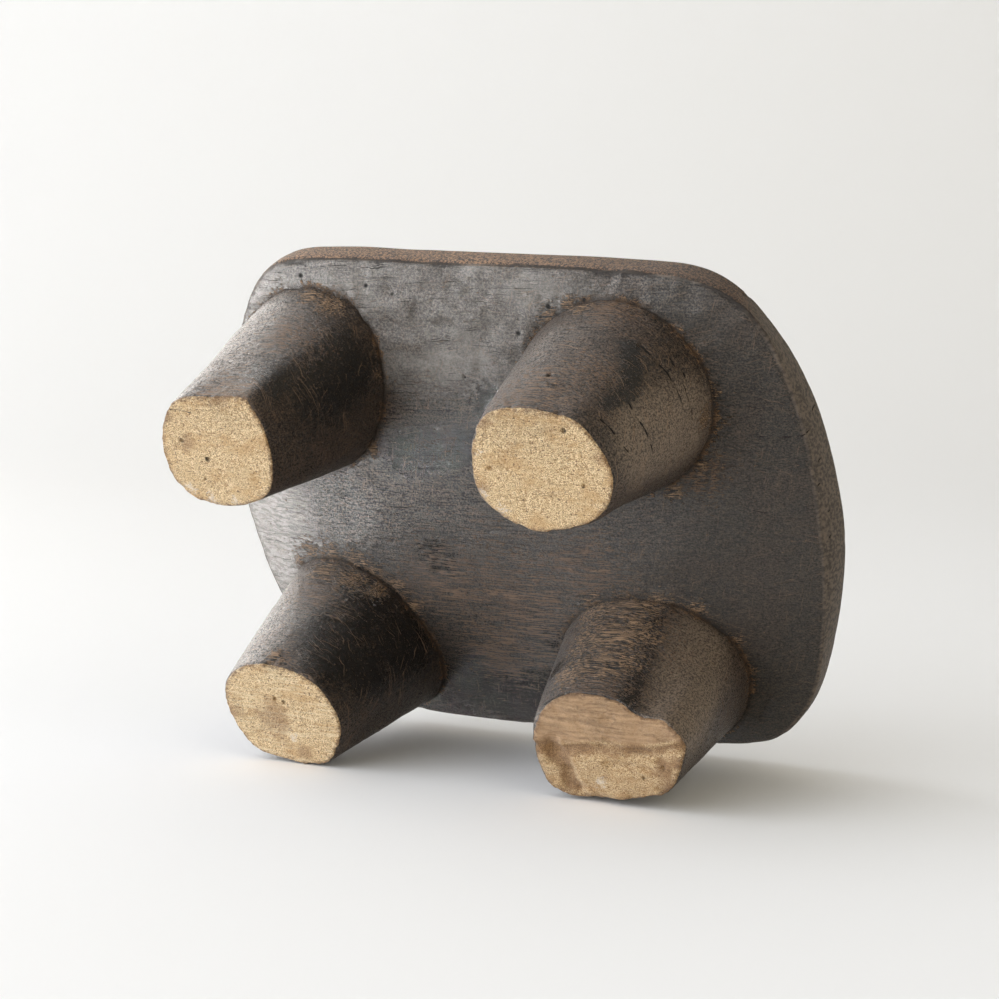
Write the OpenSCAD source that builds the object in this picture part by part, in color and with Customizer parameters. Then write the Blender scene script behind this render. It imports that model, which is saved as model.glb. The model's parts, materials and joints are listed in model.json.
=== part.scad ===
// Four-legged carved wooden headrest, also used as a low stool.
// It is cut from one log: a thick seat with a bulging underside stands on
// four fat tapered legs. The seat and the legs are separate solids that meet
// face to face where the carver's crease runs round each leg.
// X is the long axis and the grain, Y is across it, Z is up.

/* [Seat] */
// Length of the seat, along the grain
seat_l = 403; // [363:2:443]
// Width of the seat, across the grain
seat_w = 317; // [305:2:341]
// Height from the floor to the top of the rim
total_h = 136; // [126:1:160]
// Height of the upright band round the edge of the seat
band_h = 24; // [16:1:30]
// How far the underside bulges below the band
belly = 25; // [14:1:32]
// How deep the sitting face is dished
dish = 6; // [2:1:12]
// How much the top edge is rounded off
edge_round = 7; // [2:1:10]

/* [Legs] */
// Distance between the left and right soles
legs_dx = 214; // [200:1:220]
// Distance between the front and back soles
legs_dy = 177; // [160:1:180]
// How far the set of legs sits from the middle of the seat, along it
legs_shift_x = -20; // [-22:1:0]
// How far the set of legs sits from the middle of the seat, across it
legs_shift_y = 9; // [0:1:11]
// Length of an average sole
sole_l = 87; // [76:1:94]
// Width of an average sole
sole_w = 71; // [62:1:76]
// Length of an average leg where it meets the seat
root_l = 122; // [108:1:124]
// Width of an average leg where it meets the seat
root_w = 114; // [100:1:116]

/* [Hidden] */

// Heights of the parts of the seat
band_z = total_h - band_h;
belly_z = band_z - belly;
// How quickly the belly turns up towards the rim
belly_power = 2.4;
// Facets: steps between two points of the plan, rings on each face, steps on the edge
OUTLINE_STEPS = 4;
BELLY_RINGS = 8;
DISH_RINGS = 6;
EDGE_STEPS = 4;
// Part of the seat's radius taken by the level rim of the sitting face
rim_share = 0.03;

// Plan of the seat as the carver left it, from the right tip round by the back:
// the front edge runs a little askew and the front corners are the squarer ones
PLAN_L = 403;
PLAN_W = 317;
PLAN = [
    [201.5, 7], [197, 49], [183, 101], [168, 131], [142, 151.5],
    [90, 158], [-2, 158.5], [-92, 157], [-147, 145], [-176, 113],
    [-195, 63], [-201.5, 9], [-197, -43], [-182, -97], [-165, -133],
    [-139, -154.5], [-97, -158.5], [-32, -156.5], [38, -155], [98, -152.5],
    [132, -148.5], [154, -136.5], [170, -116.5], [186, -86], [197, -46]
];

// Facets round a leg, and the height at which the leg's root is measured
LEG_STEPS = 48;
root_z = band_z - 8;

// The carver's unevenness, leg by leg: front left, front right, back left, back right.
// Sole: shift along X, shift along Y, extra half length, extra half width, turn.
SOLE = [
    [-2, 0, -3, 1, -35],
    [-6, 0, 0, 2, 2],
    [2, 0, -2, -1, 14],
    [6, 0, 5, -2, -3]
];
// Root: the same five values, measured where the leg meets the seat.
ROOT = [
    [4, -1, 2, -1, -47],
    [-5, 2, 0, 2, -7],
    [6, -3, -1, -5, 45],
    [-6, 2, 0, -2, 5]
];

// A point on the smooth curve from b to c, with a and d as their neighbours
function curve_point(a, b, c, d, t) =
    (2 * b + (c - a) * t + (2 * a - 5 * b + 4 * c - d) * t * t + (3 * b - a - 3 * c + d) * t * t * t) / 2;

// The outline: a closed smooth curve through PLAN, scaled to the seat's length and width
PLAN_COUNT = len(PLAN);
OUTLINE = [
    for (i = [0 : PLAN_COUNT - 1])
        let (
            a = PLAN[(i + PLAN_COUNT - 1) % PLAN_COUNT],
            b = PLAN[i],
            c = PLAN[(i + 1) % PLAN_COUNT],
            d = PLAN[(i + 2) % PLAN_COUNT]
        )
        for (k = [0 : OUTLINE_STEPS - 1])
            let (p = curve_point(a, b, c, d, k / OUTLINE_STEPS))
            [p.x * seat_l / PLAN_L, p.y * seat_w / PLAN_W]
];

// Height of the underside at a share of the way out to the rim
function belly_height(share) = band_z - belly * (1 - pow(share, belly_power));

// Height of the sitting face at a share of the way out to the rim
function dish_height(share) = total_h - dish * (1 - pow(share, 2));

// The seat's section from the middle of the underside to the middle of the top:
// each entry is a share of the outline and a height
edge_share = edge_round / (seat_l / 2);
top_share = 1 - edge_share - rim_share;
SECTION = concat(
    [for (i = [1 : BELLY_RINGS]) let (s = i / BELLY_RINGS) [s, belly_height(s)]],
    [for (i = [0 : EDGE_STEPS]) let (a = 90 * i / EDGE_STEPS)
        [1 - edge_share * (1 - cos(a)), total_h - edge_round * (1 - sin(a))]],
    [for (i = [0 : DISH_RINGS - 1]) let (s = 1 - i / DISH_RINGS)
        [top_share * s, dish_height(s)]]
);

// A closed skin through rings of equal length, with a point at each end
module skin(rings, start, end) {
    n = len(rings[0]);
    count = len(rings);
    last = n * count + 1;
    polyhedron(
        points = concat([start], [for (ring = rings) for (p = ring) p], [end]),
        faces = concat(
            [for (i = [0 : n - 1]) [0, 1 + i, 1 + (i + 1) % n]],
            [for (k = [0 : count - 2]) for (i = [0 : n - 1])
                let (a = 1 + k * n + i, b = 1 + k * n + (i + 1) % n)
                [a, a + n, b]],
            [for (k = [0 : count - 2]) for (i = [0 : n - 1])
                let (a = 1 + k * n + i, b = 1 + k * n + (i + 1) % n)
                [b, a + n, b + n]],
            [for (i = [0 : n - 1]) [last, last - n + (i + 1) % n, last - n + i]]
        ),
        convexity = 4
    );
}

module seat_solid() {
    skin(
        [for (s = SECTION) [for (p = OUTLINE) [p.x * s[0], p.y * s[0], s[1]]]],
        [0, 0, belly_z],
        [0, 0, total_h - dish]
    );
}

// An uneven oval: centre, half length, half width and turn
function oval(x, y, half_l, half_w, turn, z) = [
    for (i = [0 : LEG_STEPS - 1])
        let (a = 360 * i / LEG_STEPS, u = half_l * cos(a - turn), v = half_w * sin(a - turn))
        [x + u * cos(turn) - v * sin(turn), y + u * sin(turn) + v * cos(turn), z]
];

// A tapered leg from the floor up into the seat
module leg_blank(index, right, back) {
    x = legs_shift_x + right * legs_dx / 2;
    y = legs_shift_y + back * legs_dy / 2;
    s = SOLE[index];
    r = ROOT[index];
    sole = oval(x + s[0], y + s[1], sole_l / 2 + s[2], sole_w / 2 + s[3], s[4], 0);
    root = oval(x + r[0], y + r[1], root_l / 2 + r[2], root_w / 2 + r[3], r[4], root_z);
    // the taper runs on straight until the leg is well inside the seat
    top = [for (i = [0 : LEG_STEPS - 1]) sole[i] + (root[i] - sole[i]) * band_z / root_z];
    skin([sole, top], [x + s[0], y + s[1], 0], [x + r[0], y + r[1], band_z]);
}

// A leg as carved: the blank up to the underside of the seat
module leg(index, right, back) {
    color("#3a2a20")
    difference() {
        leg_blank(index, right, back);
        seat_solid();
    }
}

module seat() {
    color("#4a3a30")
    seat_solid();
}

module leg_front_left() {
    leg(0, -1, -1);
}

module leg_front_right() {
    leg(1, 1, -1);
}

module leg_back_left() {
    leg(2, -1, 1);
}

module leg_back_right() {
    leg(3, 1, 1);
}

seat();
leg_front_left();
leg_front_right();
leg_back_left();
leg_back_right();
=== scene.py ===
import json
import math

import bpy
import numpy as np
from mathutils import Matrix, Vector

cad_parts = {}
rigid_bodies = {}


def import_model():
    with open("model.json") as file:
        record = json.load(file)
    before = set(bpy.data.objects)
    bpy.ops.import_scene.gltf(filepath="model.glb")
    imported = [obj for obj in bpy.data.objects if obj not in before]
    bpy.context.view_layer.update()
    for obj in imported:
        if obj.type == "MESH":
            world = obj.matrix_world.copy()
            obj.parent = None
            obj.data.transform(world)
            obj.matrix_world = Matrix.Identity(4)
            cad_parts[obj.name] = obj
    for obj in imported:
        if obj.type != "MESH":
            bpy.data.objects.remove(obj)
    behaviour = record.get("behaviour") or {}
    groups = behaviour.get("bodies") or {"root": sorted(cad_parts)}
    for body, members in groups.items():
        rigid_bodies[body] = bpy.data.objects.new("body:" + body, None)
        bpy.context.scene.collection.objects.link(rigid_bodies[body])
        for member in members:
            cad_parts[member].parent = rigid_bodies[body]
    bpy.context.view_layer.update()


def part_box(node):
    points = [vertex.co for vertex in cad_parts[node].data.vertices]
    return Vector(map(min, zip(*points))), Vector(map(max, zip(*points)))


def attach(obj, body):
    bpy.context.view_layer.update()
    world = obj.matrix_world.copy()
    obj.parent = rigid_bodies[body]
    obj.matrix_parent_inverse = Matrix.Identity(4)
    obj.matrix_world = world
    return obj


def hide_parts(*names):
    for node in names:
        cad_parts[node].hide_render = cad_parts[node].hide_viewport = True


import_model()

# A headrest carved from one log. It stands upright in its own frame. The camera and
# the table lean, so the picture shows it lying on its back side on the table.
# Lengths are in millimetres until a mesh or an object is made, and MM turns them
# into metres. X runs along the grain, Y across it, Z from the soles to the seat.
MM = 0.001

# ---------------------------------------------------------------- the shape's plan

seat_low, seat_high = (np.array(corner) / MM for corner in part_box("seat"))
SEAT_TOP = seat_high[2]
# The upright band round the seat's edge, and the height of its lower edge
BAND = 24
BAND_Z = SEAT_TOP - BAND
# How far the underside bulges down, and how flat its middle is
BELLY = BAND_Z - seat_low[2]
BELLY_POWER = 2.4
# Depth of the sitting face's hollow
DISH = 6
# Rounding of the band's upper edge, of its lower edge and of the soles' edges
TOP_EDGE = 7
ARRIS_EDGE = 1.4
SOLE_EDGE = 1.5
# How deep the legs go into the seat
SINK = 2.5

# Plan of the seat, from the right tip round by the back
PLAN = [
    (201.5, 7), (197, 49), (183, 101), (168, 131), (142, 151.5),
    (90, 158), (-2, 158.5), (-92, 157), (-147, 145), (-176, 113),
    (-195, 63), (-201.5, 9), (-197, -43), (-182, -97), (-165, -133),
    (-139, -154.5), (-97, -158.5), (-32, -156.5), (38, -155), (98, -152.5),
    (132, -148.5), (154, -136.5), (170, -116.5), (186, -86), (197, -46),
]

# The lower edge of the band follows the plan, apart from these points: it draws in
# under the right tip and stands out at the front right corner
ARRIS_POINTS = {0: (194.5, 7), 1: (192.5, 49), 21: (155.5, -139), 22: (173.5, -118), 23: (186, -85),
                24: (193, -46)}

# Each leg: the outline of its worn sole, and the oval where it meets the seat
# (centre, half length, half width, turn in degrees) at ROOT_Z
ROOT_Z = BAND_Z - 8
LEGS = {
    "leg_front_left": {
        "sole": [(-92, -86), (-93, -69), (-99, -55), (-112, -47), (-134, -44), (-153, -48),
                 (-165, -60), (-168, -76), (-165, -92), (-155, -108), (-143, -113), (-123, -114),
                 (-105, -114), (-99, -109), (-94, -98)],
        "root": (-123, -80.5, 63, 56, -47),
    },
    "leg_front_right": {
        "sole": [(125, -76), (120, -61), (108, -50), (90, -44), (72, -42), (55, -49),
                 (42, -61), (40, -81), (45, -100), (55, -112), (71, -116), (89, -115),
                 (106, -111), (117, -100), (123, -88)],
        "root": (82, -77.5, 61, 59, -7),
    },
    "leg_back_left": {
        "sole": [(-84, 99), (-88, 114), (-97, 127), (-111, 132), (-132, 130), (-151, 125),
                 (-162, 110), (-165, 91), (-160, 76), (-148, 67), (-130, 63), (-110, 66),
                 (-96, 74), (-88, 86)],
        "root": (-121, 94.5, 60, 52, 45),
    },
    "leg_back_right": {
        "sole": [(143, 88), (139, 105), (129, 120), (109, 127), (88, 130), (67, 130),
                 (53, 123), (48, 108), (48, 90), (55, 76), (68, 67), (85, 64),
                 (102, 66), (118, 74), (134, 76)],
        "root": (81, 99.5, 61, 55, 5),
    },
}

# ---------------------------------------------------------------- marks on the wood
# Each mark is a stroke from one point to another with a width. Cracks and worm
# holes are dark and deep; cuts are the carver's tool marks round the legs.

SEAT_CRACKS = [
    ((-143, -155, 113), (-116, -153, 110), 1.1),
    ((-109, -153, 110), (-90, -152, 110), 0.5),
    ((-26, -121, 101), (-9, -119, 101), 0.6),
    ((-9, -119, 101), (17, -118, 101), 0.5),
    ((17, -118, 101), (26, -117, 100), 0.8),
    ((164, -56, 105), (177, -55, 108), 0.6),
    ((177, -55, 108), (189, -55, 111), 0.8),
    ((189, -55, 111), (195, -59, 118), 0.9),
    ((195, -59, 118), (195, -64, 126), 0.9),
    ((184, -95, 112), (183, -98, 124), 0.9),
    ((192, -65, 122), (192, -69, 130), 0.8),
    ((196, -41, 126), (195, -37, 116), 0.7),
    ((197, -33, 127), (194, -23, 114), 0.8),
    ((197, -7, 122), (197, -3, 114), 0.7),
    ((197, 3, 127), (196, 13, 115), 0.8),
    ((194, 35, 128), (193, 41, 114), 0.7),
    ((189, 71, 126), (188, 75, 114), 0.7),
    ((154, -12, 101), (183, -4, 108), 0.4),
]
SEAT_HOLES = [
    ((-122, -147, 109), 1.6), ((-76, -142, 107), 1.3), ((-58, -138, 106), 1.2),
    ((26, -117, 100), 1.4), ((46, -132, 105), 1.6), ((38, -120, 101), 1.8),
    ((31, -109, 98), 1.3), ((68, -136, 107), 1.2), ((154, 63, 105), 1.2),
    ((171, 52, 108), 1.0), ((-11, -91, 94), 0.8),
]
SEAT_CUTS = [
    ((-61, -124, 101), (-56, -119, 100), 1.4),
    ((-158, 41, 102), (-142, 34, 98), 2.2), ((-155, 37, 101), (-141, 30, 97), 1.6),
    ((-149, 32, 99), (-138, 27, 96), 1.4),
    ((126, -33, 96), (150, -40, 101), 1.8), ((120, -28, 95), (144, -34, 99), 1.6),
    ((110, -21, 93), (132, -26, 96), 1.5), ((138, -49, 99), (152, -57, 103), 1.6),
    ((144, 129, 108), (150, 119, 107), 4.5), ((148, 109, 106), (151, 101, 105), 2.2),
]
# A nick in the upper edge of the band, at the front right corner
BAND_NICK = ((158, -132, 128), (159, -131, 138))
LEG_CRACKS = {
    "leg_front_left": [
        ((-155, -105, 0), (-142, -103, 0), 0.8), ((-166, -80, 0), (-149, -81, 0), 0.6),
        ((-120, -128, 52), (-102, -129, 56), 0.4),
    ],
    "leg_front_right": [
        ((114, -122, 77), (125, -111, 75), 1.3), ((125, -111, 75), (133, -100, 75), 1.3),
        ((133, -100, 75), (137, -88, 74), 1.1), ((117, -110, 39), (126, -98, 37), 1.2),
        ((126, -98, 37), (131, -82, 39), 1.2), ((131, -82, 39), (132, -73, 39), 1.0),
        ((124, -116, 91), (134, -101, 86), 1.2), ((134, -101, 86), (139, -77, 79), 1.1),
        ((116, -105, 14), (125, -93, 16), 1.2), ((125, -93, 16), (128, -79, 20), 0.9),
        ((122, -113, 58), (132, -96, 56), 0.9), ((132, -96, 56), (136, -75, 56), 0.8),
        ((128, -111, 84), (138, -89, 80), 0.9),
    ],
    "leg_back_left": [
        ((-129, 62, 1), (-124, 62, 4), 1.1), ((-121, 62, 3), (-116, 64, 4), 1.0),
    ],
    "leg_back_right": [
        ((47, 87, 1), (62, 86, 0), 1.0), ((130, 67, 70), (135, 81, 62), 0.4),
    ],
}
LEG_HOLES = {
    "leg_front_left": [((-137, -74, 0), 1.5), ((-153, -85, 0), 1.3), ((-142, -61, 0), 0.9)],
    "leg_front_right": [((51, -79, 0), 1.3), ((100, -104, 0), 1.4), ((107, -72, 0), 1.0),
                        ((80, -122, 31), 1.6)],
    "leg_back_left": [((-128, 87, 0), 1.2), ((-122, 89, 0), 1.4)],
    "leg_back_right": [((129, 103, 0), 1.2), ((116, 111, 0), 1.0)],
}

# Rough rubbed patches, brown where the dark surface is worn off: place and reach
SEAT_RUBBED = [
    ((8, 61, 90), 62), ((-47, 46, 89), 40), ((53, 31, 90), 34), ((-80, 61, 92), 24),
    ((-152, 39, 100), 15), ((131, -35, 97), 20), ((-22, 96, 95), 36),
    ((-12, 89, 93), 40),
]
LEG_RUBBED = {
    "leg_front_left": [((-120, -117, 6), 30), ((-102, -127, 62), 30), ((-94, -69, 70), 26)],
    "leg_front_right": [((78, -119, 16), 40), ((98, -121, 40), 26), ((90, -135, 96), 26)],
    "leg_back_left": [((-126, 50, 66), 28), ((-112, 50, 84), 16), ((-120, 63, 6), 14)],
    "leg_back_right": [((84, 55, 60), 46), ((86, 63, 20), 34), ((94, 51, 88), 30)],
}

# Torn fibres where a leg grows out of the seat: place and reach
SEAT_TORN = [
    ((-133, 43, 97), 15), ((-114, 43, 94), 14), ((-151, 37, 100), 8), ((-163, 47, 103), 6),
    ((-102, 48, 92), 12), ((-86, 56, 92), 11), ((-77, 68, 92), 8), ((-85, -44, 91), 8),
    ((139, -84, 102), 8), ((141, -67, 101), 7), ((131, -41, 97), 5), ((113, -24, 94), 7),
    ((46, -126, 104), 8), ((60, -133, 106), 7), ((53, 53, 89), 10), ((73, 50, 90), 9),
    ((96, 49, 92), 9), ((116, 55, 95), 8), ((137, 76, 100), 6), ((142, 97, 102), 6),
]
LEG_TORN = {
    "leg_front_left": [((-96, -133, 96), 12), ((-110, -138, 99), 10), ((-72, -92, 90), 6)],
    "leg_front_right": [((70, -134, 100), 9), ((84, -124, 22), 6), ((139, -72, 92), 8)],
    "leg_back_left": [((-133, 44, 86), 13), ((-112, 46, 82), 13), ((-95, 52, 84), 9), ((-126, 60, 7), 7)],
    "leg_back_right": [((56, 54, 82), (88, 50, 86), 16), ((64, 57, 54), (92, 55, 62), 19),
                       ((66, 62, 26), (94, 60, 36), 15)],
}

# Sooty black stains, and dry olive-brown faces: place or stroke, and reach. On the seat, the black patches
# at the back of the underside, between the back legs, are painted shade where it turns toward the table it
# lies on.
SEAT_SOOT_AND_SHADE = [
    ((-60, 130, 103), (30, 124, 101), 26), ((-42, 108, 97), 16), ((20, 80, 92), (40, 104, 96), 12),
    ((-50, 30, 88), 16), ((0, -50, 89), (-60, -40, 90), 16), ((6, -74, 91), 14),
    ((-30, 134, 105), (20, 134, 105), 24),
]
LEG_SOOT = {
    "leg_front_left": [((-84, -108, 60), 36), ((-100, -118, 20), 16)],
    "leg_front_right": [((110, -122, 72), (121, -110, 46), 7), ((121, -109, 46), (117, -112, 22), 6)],
    "leg_back_left": [((-100, 52, 76), 24), ((-104, 55, 54), 30), ((-96, 64, 26), 26), ((-76, 84, 70), 28),
                      ((-84, 84, 36), 20)],
    "leg_back_right": [((97, 50, 88), (104, 58, 46), 7), ((104, 58, 46), (109, 68, 6), 7),
                       ((52, 70, 40), 10)],
}
LEG_DRY = {
    "leg_front_left": [((-110, -120, 4), 16)],
    "leg_front_right": [((134, -84, 34), (140, -76, 74), 30)],
    "leg_back_left": [],
    "leg_back_right": [((124, 66, 74), (136, 80, 20), 25)],
}

# Brown stains and hollows in the straw-coloured soles, and pale scuffs: place and reach
SOLE_STAINS = {
    "leg_front_left": [((-151, -84, 0), 7), ((-160, -100, 0), 6), ((-120, -113, 0), 7)],
    "leg_front_right": [((52, -107, 0), 8), ((118, -90, 0), 7), ((46, -66, 0), 5)],
    "leg_back_left": [((-134, 104, 0), 17), ((-158, 98, 0), 8), ((-114, 124, 0), 7)],
    "leg_back_right": [((129, 103, 0), 9), ((137, 98, 0), 6), ((130, 114, 0), 8), ((52, 100, 0), 6)],
}
SOLE_SCUFFS = {
    "leg_front_left": [((-154, -54, 0), 8), ((-140, -48, 0), 8), ((-124, -47, 0), 6)],
    "leg_front_right": [((54, -54, 0), 8), ((44, -64, 0), 6), ((46, -88, 0), 4)],
    "leg_back_left": [((-120, 113, 0), 6)],
    "leg_back_right": [((88, 118, 0), 7)],
}

# The gouge across the back right sole, and the dark brown along it: partly staining, partly painted shade in
# the hollow
GOUGE = ((58, 99, 0), (72, 124, 0))
GOUGE_STAIN_AND_SHADE = ((57, 98, 0), (70, 124, 0))


# ---------------------------------------------------------------- mathematics

def noise(points, cell, seed):
    """A smooth random field from -1 to 1 whose bumps are about cell across."""
    size = 32
    lattice = np.random.default_rng(seed).uniform(-1, 1, (size, size, size))
    place = points / np.asarray(cell, float)
    corner = np.floor(place)
    part = place - corner
    part = part * part * (3 - 2 * part)
    corner = corner.astype(int)
    total = 0
    for dx in (0, 1):
        for dy in (0, 1):
            for dz in (0, 1):
                index = (corner + (dx, dy, dz)) % size
                weight = (
                    np.where(dx, part[..., 0], 1 - part[..., 0])
                    * np.where(dy, part[..., 1], 1 - part[..., 1])
                    * np.where(dz, part[..., 2], 1 - part[..., 2])
                )
                total = total + weight * lattice[index[..., 0], index[..., 1], index[..., 2]]
    return total


def rough(points, cell, seed, octaves=3):
    """Several noises, each half as wide and half as strong as the one before."""
    cell = np.asarray(cell, float)
    return sum(noise(points, cell / 2**k, seed + k) / 2**k for k in range(octaves))


def smooth(value, low, high):
    """0 below low, 1 above high, and a smooth step between; low may be the larger."""
    t = np.clip((value - low) / (high - low), 0, 1)
    return t * t * (3 - 2 * t)


def bell(value, width):
    """1 where the value is 0, falling off to both sides over a width."""
    return np.exp(-((value / width) ** 2))


def closed_curve(points, steps=24):
    """A smooth closed curve through the points."""
    p = np.array(points, float)
    before, after, beyond = (np.roll(p, shift, axis=0) for shift in (1, -1, -2))
    t = (np.arange(steps) / steps)[:, None, None]
    curve = (
        2 * p + (after - before) * t
        + (2 * before - 5 * p + 4 * after - beyond) * t**2
        + (3 * p - before - 3 * after + beyond) * t**3
    ) / 2
    return curve.transpose(1, 0, 2).reshape(-1, 2)


def oval(x, y, half_length, half_width, turn, steps=240):
    """The points of an oval."""
    a = np.arange(steps) * 2 * math.pi / steps
    t = math.radians(turn)
    u, v = half_length * np.cos(a), half_width * np.sin(a)
    return np.stack([x + u * math.cos(t) - v * math.sin(t), y + u * math.sin(t) + v * math.cos(t)], 1)


def ring(centre, radius, angles, height):
    """Points round a centre at one height."""
    return np.stack([centre[0] + radius * np.cos(angles), centre[1] + radius * np.sin(angles),
                     np.broadcast_to(height, angles.shape)], 1)


def radius_at(curve, centre, angles):
    """How far a closed curve is from a centre inside it, in each direction."""
    d = curve - np.asarray(centre, float)
    own = np.arctan2(d[:, 1], d[:, 0])
    order = np.argsort(own)
    return np.interp(angles, own[order], np.hypot(d[:, 0], d[:, 1])[order], period=2 * math.pi)


PLAN_CURVE = closed_curve(PLAN)
ARRIS_CURVE = closed_curve([ARRIS_POINTS.get(k, point) for k, point in enumerate(PLAN)])


def share_of_plan(x, y):
    """0 in the middle of the seat's underside and 1 at its arris."""
    return np.hypot(x, y) / radius_at(ARRIS_CURVE, (0, 0), np.arctan2(y, x))


def belly_height(share):
    """The height of the seat's underside."""
    return BAND_Z - BELLY * (1 - np.minimum(share, 1) ** BELLY_POWER)


def grid_normals(grid):
    """Normals of a grid of points whose rows are closed rings."""
    across = np.gradient(grid, axis=0)
    along = np.roll(grid, -1, axis=1) - np.roll(grid, 1, axis=1)
    normal = np.cross(along, across)
    length = np.linalg.norm(normal, axis=2, keepdims=True)
    return normal / np.maximum(length, 1e-9)


def stroke_distance(points, a, b):
    """Distance from each point to the stroke from a to b."""
    a, b = np.array(a, float), np.array(b, float)
    along = b - a
    t = np.clip((points - a) @ along / max(along @ along, 1e-9), 0, 1)
    return np.linalg.norm(points - a - t[..., None] * along, axis=-1)


# ---------------------------------------------------------------- relief

def hand_work(points):
    """The uneven surface that an adze and years of use leave, in millimetres."""
    broad = 0.7 * noise(points, (70, 46, 40), 11) + 0.4 * noise(points, (30, 22, 26), 12)
    facets = 0.25 * np.abs(noise(points, (20, 13, 15), 13))
    grain = 0.09 * noise(points, (26, 2.6, 2.2), 14) + 0.05 * noise(points, (9, 1.8, 1.6), 15)
    return broad + facets + grain


def dimples(points):
    """Small soft hollows, as if hammered, that catch the light on the underside."""
    front = smooth(points[..., 1], -60, -105)
    around_leg = patches(points, [((30, -118, 101), 26), ((45, -100, 97), 20), ((-20, -130, 104), 34)])
    size = 0.08 + 0.5 * front + 0.45 * around_leg
    ripples = patches(points, [((-119, 8, 93), 30), ((-92, 12, 89), 22)])
    return (size * (1.5 * noise(points, (13, 10, 10), 61) + 0.8 * noise(points, (6, 5, 5), 62))
            + 0.30 * ripples * noise(points, (6.5, 40, 40), 63))


def marks_relief(points, cracks, holes, cuts=()):
    """How far the marks go down into the wood, as a negative height."""
    depth = np.zeros(points.shape[:-1])
    for a, b, width in cracks:
        depth = np.maximum(depth, 0.9 * width * smooth(stroke_distance(points, a, b), width + 0.6, 0))
    for centre, radius in holes:
        depth = np.maximum(depth, 2.2 * smooth(stroke_distance(points, centre, centre), radius + 0.5, 0))
    for a, b, width in cuts:
        depth = np.maximum(depth, 0.55 * width * smooth(stroke_distance(points, a, b), width, 0))
    return -depth


def patches(points, spots):
    """From 0 to 1: how much each point lies in one of the soft spots. A spot is a
    place and its reach, or the two ends of a stroke and its reach."""
    total = np.zeros(points.shape[:-1])
    for *ends, reach in spots:
        distance = stroke_distance(points, ends[0], ends[-1])
        total = np.maximum(total, bell(distance, reach))
    return total


# ---------------------------------------------------------------- meshes

def closed_mesh(name, grid, start, end, masks):
    """A closed piece from a grid of rings, with a point at each end. Each mask is a
    grid of values that the materials read as an attribute."""
    rings, around = grid.shape[:2]
    points = np.concatenate([[start], grid.reshape(-1, 3), [end]]) * MM
    column = np.arange(around)
    following = (column + 1) % around
    first = 1 + np.arange(rings - 1)[:, None] * around
    quads = np.stack([first + column, first + following, first + around + following,
                      first + around + column], axis=2)
    last = 1 + (rings - 1) * around
    caps = [(0, 1 + b, 1 + a) for a, b in zip(column, following)]
    caps += [(last + around, last + a, last + b) for a, b in zip(column, following)]
    mesh = bpy.data.meshes.new(name)
    mesh.from_pydata(points.tolist(), [], quads.reshape(-1, 4).tolist() + [tuple(map(int, c)) for c in caps])
    mesh.polygons.foreach_set("use_smooth", [True] * len(mesh.polygons))
    for mask, values in masks.items():
        flat = np.concatenate([[values[0].mean()], values.reshape(-1), [values[-1].mean()]])
        mesh.attributes.new(mask, "FLOAT", "POINT").data.foreach_set("value", flat.astype(np.float32))
    mesh.update()
    piece = bpy.data.objects.new(name, mesh)
    bpy.context.scene.collection.objects.link(piece)
    return piece


def leg_rings(leg, angles):
    """Centre and radii of a leg's sole and of its root."""
    sole_curve = closed_curve(leg["sole"])
    x, y, half_length, half_width, turn = leg["root"]
    sole_centre = np.array(leg["sole"], float).mean(axis=0)
    root_curve = oval(x, y, half_length, half_width, turn)
    return (sole_centre, radius_at(sole_curve, sole_centre, angles),
            np.array([x, y], float), radius_at(root_curve, (x, y), angles))


def leg_point(rings, angles, height):
    """Points on a leg's side at each angle, at a height per angle."""
    sole_centre, sole_radius, root_centre, root_radius = rings
    share = np.asarray(height, float) / ROOT_Z
    radius = sole_radius + (root_radius - sole_radius) * share
    x = sole_centre[0] + (root_centre[0] - sole_centre[0]) * share + radius * np.cos(angles)
    y = sole_centre[1] + (root_centre[1] - sole_centre[1]) * share + radius * np.sin(angles)
    return x, y


def leg_crease(rings, angles):
    """The height at which a leg's side meets the underside of the seat."""
    height = np.full(len(angles), float(ROOT_Z))
    for _ in range(30):
        x, y = leg_point(rings, angles, height)
        height = 0.5 * height + 0.5 * belly_height(share_of_plan(x, y))
    return height


CREASE_ANGLES = np.arange(360) * math.pi / 180
CREASES = {}
for leg_name, leg in LEGS.items():
    crease_rings = leg_rings(leg, CREASE_ANGLES)
    crease_z = leg_crease(crease_rings, CREASE_ANGLES)
    CREASES[leg_name] = np.stack([*leg_point(crease_rings, CREASE_ANGLES, crease_z)], 1)


def outside_crease(points):
    """Distance on the seat's underside to the nearest leg: negative under the leg."""
    nearest = np.full(points.shape[:-1], 1e3)
    for curve in CREASES.values():
        centre = curve.mean(axis=0)
        dx, dy = points[..., 0] - centre[0], points[..., 1] - centre[1]
        nearest = np.minimum(nearest, np.hypot(dx, dy) - radius_at(curve, centre, np.arctan2(dy, dx)))
    return nearest


SEAT_AROUND = 720
BELLY_RINGS = 84
BAND_RINGS = 14
TOP_RINGS = 27


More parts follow.
